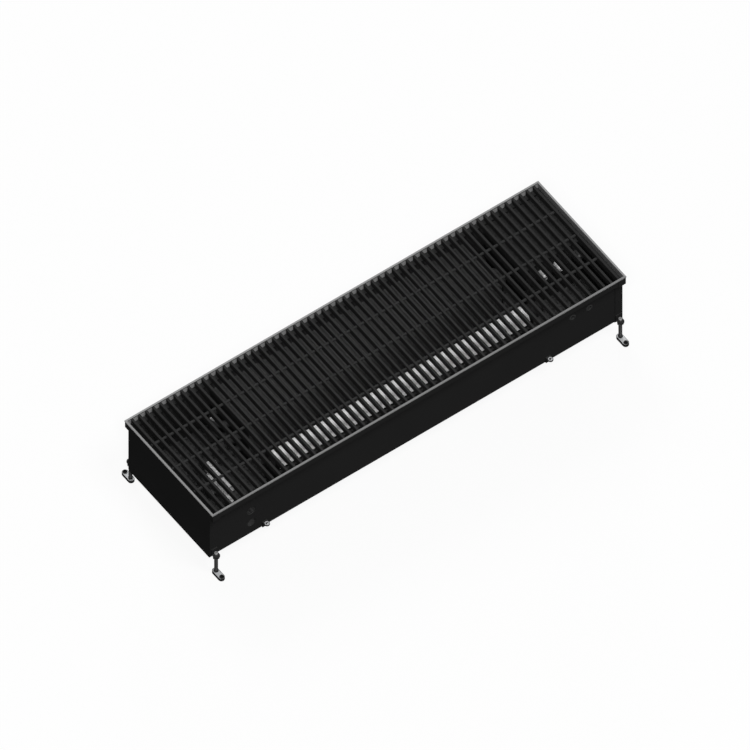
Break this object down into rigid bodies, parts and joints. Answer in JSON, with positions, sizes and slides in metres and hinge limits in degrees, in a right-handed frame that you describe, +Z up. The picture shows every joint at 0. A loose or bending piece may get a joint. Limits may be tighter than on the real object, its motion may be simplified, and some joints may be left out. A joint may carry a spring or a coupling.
{
  "type": "trench convector heater",
  "caption": "Floor trough heater: folded steel casing on levelling feet, lift-off bar grille, finned coil, cross-flow fan, pipe valves and electrics box.",
  "frame": {"origin": "on the floor under the middle of the trough, between the four feet", "axes": "+X along the trough from the pipe end to the electrics end, +Z up, -Y towards the wall with the pipe holes"},
  "size_m": [1.028, 0.341, 0.2],
  "materials": {
    "black_coat": "matt black powder coat on folded sheet steel",
    "frame_metal": "grey anodised aluminium, satin",
    "cushion_rubber": "black EPDM rubber strip",
    "coil_black": "thin aluminium fins with a matt black dip coat",
    "tube_black": "copper tube under the coil's matt black coat",
    "pipe_black": "copper pipe with a black coat",
    "nickel": "nickel-plated brass, satin",
    "cap_plastic": "black moulded plastic",
    "rotor_metal": "bright rolled aluminium blades",
    "steel": "turned steel",
    "bush_rubber": "black rubber with a bronze-filled bearing insert",
    "motor_black": "black coated motor can",
    "module_plastic": "dark grey moulded plastic",
    "gland_metal": "nickel-plated brass",
    "zinc": "bright zinc-plated steel",
    "fixing_dark": "blackened steel",
    "shoe_rubber": "black moulded rubber",
    "bar_black": "black anodised aluminium, satin",
    "rod_dark": "darkened steel rod",
    "sleeve_dark": "dark grey plastic spacer"
  },
  "bodies": {
    "casing": {"trough": "black_coat", "end_plate_left": "black_coat", "end_plate_right": "black_coat", "frame_front": "frame_metal", "frame_back": "frame_metal", "frame_left": "frame_metal", "frame_right": "frame_metal", "cushion_front": "cushion_rubber", "cushion_back": "cushion_rubber", "cushion_left": "cushion_rubber", "cushion_right": "cushion_rubber", "coil_fins": "coil_black", "coil_tubes": "tube_black", "coil_bends": "tube_black", "coil_end_left": "black_coat", "coil_end_right": "black_coat", "air_vent": "nickel", "supply_pipe": "pipe_black", "return_pipe": "pipe_black", "union_nuts": "nickel", "supply_valve": "nickel", "return_valve": "nickel", "fan_bush": "bush_rubber", "fan_bracket_left": "black_coat", "fan_bracket_right": "black_coat", "fan_motor": "motor_black", "air_guide": "black_coat", "electrics_box": "black_coat", "electrics_lid": "black_coat", "lid_screws": "fixing_dark", "control_module": "module_plastic", "cable_glands": "gland_metal", "cable_rings": "cushion_rubber", "foot_brackets": "black_coat", "foot_nuts": "fixing_dark", "edge_lugs": "black_coat", "lug_screws": "fixing_dark"},
    "grille": {"grille_bars": "bar_black", "grille_rods": "rod_dark", "grille_sleeves": "sleeve_dark", "grille_clips": "rod_dark"},
    "rotor": {"fan_rotor": "rotor_metal", "fan_stub_shafts": "steel"},
    "valve_cap": {"supply_valve_cap": "cap_plastic"},
    "rod_front_left": {"foot_rod_front_left": "fixing_dark", "foot_collar_front_left": "fixing_dark"},
    "plate_front_left": {"foot_plate_front_left": "zinc", "foot_pad_front_left": "shoe_rubber"},
    "rod_front_right": {"foot_rod_front_right": "fixing_dark", "foot_collar_front_right": "fixing_dark"},
    "plate_front_right": {"foot_plate_front_right": "zinc", "foot_pad_front_right": "shoe_rubber"},
    "rod_back_left": {"foot_rod_back_left": "fixing_dark", "foot_collar_back_left": "fixing_dark"},
    "plate_back_left": {"foot_plate_back_left": "zinc", "foot_pad_back_left": "shoe_rubber"},
    "rod_back_right": {"foot_rod_back_right": "fixing_dark", "foot_collar_back_right": "fixing_dark"},
    "plate_back_right": {"foot_plate_back_right": "zinc", "foot_pad_back_right": "shoe_rubber"}
  },
  "joints": [
    {"name": "grille_lift", "type": "slide", "parent": "casing", "child": "grille", "axis": [0, 0, 1], "range_m": [0, 0.1]},
    {"name": "rotor_spin", "type": "hinge", "parent": "casing", "child": "rotor", "pos_m": [0.013, -0.065, 0.13], "axis": [1, 0, 0], "continuous": true},
    {"name": "valve_cap_turn", "type": "hinge", "parent": "casing", "child": "valve_cap", "pos_m": [-0.437, -0.0295, 0.1245], "axis": [-1, 0, 0], "range_deg": [0, 330]},
    {"name": "foot_height_front_left", "type": "slide", "parent": "casing", "child": "rod_front_left", "axis": [0, 0, 1], "range_m": [-0.006, 0.04]},
    {"name": "foot_swivel_front_left", "type": "hinge", "parent": "rod_front_left", "child": "plate_front_left", "pos_m": [-0.502, -0.1455, 0.0055], "axis": [0, 0, 1], "continuous": true},
    {"name": "foot_height_front_right", "type": "slide", "parent": "casing", "child": "rod_front_right", "axis": [0, 0, 1], "range_m": [-0.006, 0.04]},
    {"name": "foot_swivel_front_right", "type": "hinge", "parent": "rod_front_right", "child": "plate_front_right", "pos_m": [0.502, -0.1455, 0.0055], "axis": [0, 0, 1], "continuous": true},
    {"name": "foot_height_back_left", "type": "slide", "parent": "casing", "child": "rod_back_left", "axis": [0, 0, 1], "range_m": [-0.006, 0.04]},
    {"name": "foot_swivel_back_left", "type": "hinge", "parent": "rod_back_left", "child": "plate_back_left", "pos_m": [-0.502, 0.1455, 0.0055], "axis": [0, 0, 1], "continuous": true},
    {"name": "foot_height_back_right", "type": "slide", "parent": "casing", "child": "rod_back_right", "axis": [0, 0, 1], "range_m": [-0.006, 0.04]},
    {"name": "foot_swivel_back_right", "type": "hinge", "parent": "rod_back_right", "child": "plate_back_right", "pos_m": [0.502, 0.1455, 0.0055], "axis": [0, 0, 1], "continuous": true}
  ]
}
